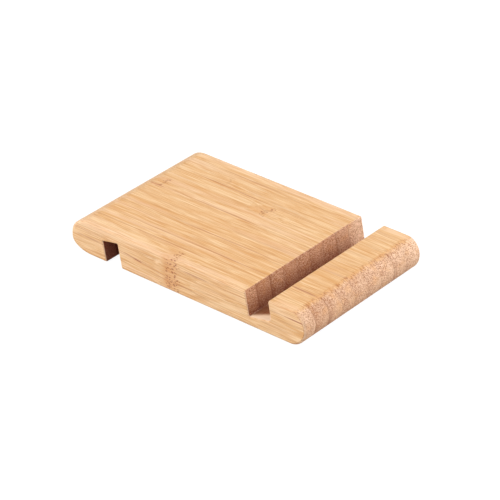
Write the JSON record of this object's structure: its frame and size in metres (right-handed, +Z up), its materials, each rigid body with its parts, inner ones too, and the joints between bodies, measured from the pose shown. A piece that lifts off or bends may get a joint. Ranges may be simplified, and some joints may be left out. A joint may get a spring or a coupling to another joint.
{
  "type": "phone stand",
  "caption": "Flat rounded bamboo block that props up a phone or tablet: a wide leaning slot in its top near one end, and a narrower leaning notch in its underside for use turned over.",
  "frame": {"origin": "middle of the footprint, on the plane that the block rests on", "axes": "+X across the block, +Y along it towards the end with the notch, so the lip in front of the slot is at -Y, +Z up out of the slotted face"},
  "size_m": [0.08, 0.13, 0.0162],
  "materials": {
    "bamboo": "sanded smooth, thin clear satin oil"
  },
  "bodies": {
    "root": {"left_edge_strip": "bamboo", "core_strip_1": "bamboo", "core_strip_2": "bamboo", "core_strip_3": "bamboo", "core_strip_4": "bamboo", "core_strip_5": "bamboo", "core_strip_6": "bamboo", "core_strip_7": "bamboo", "right_edge_strip": "bamboo"}
  },
  "joints": []
}
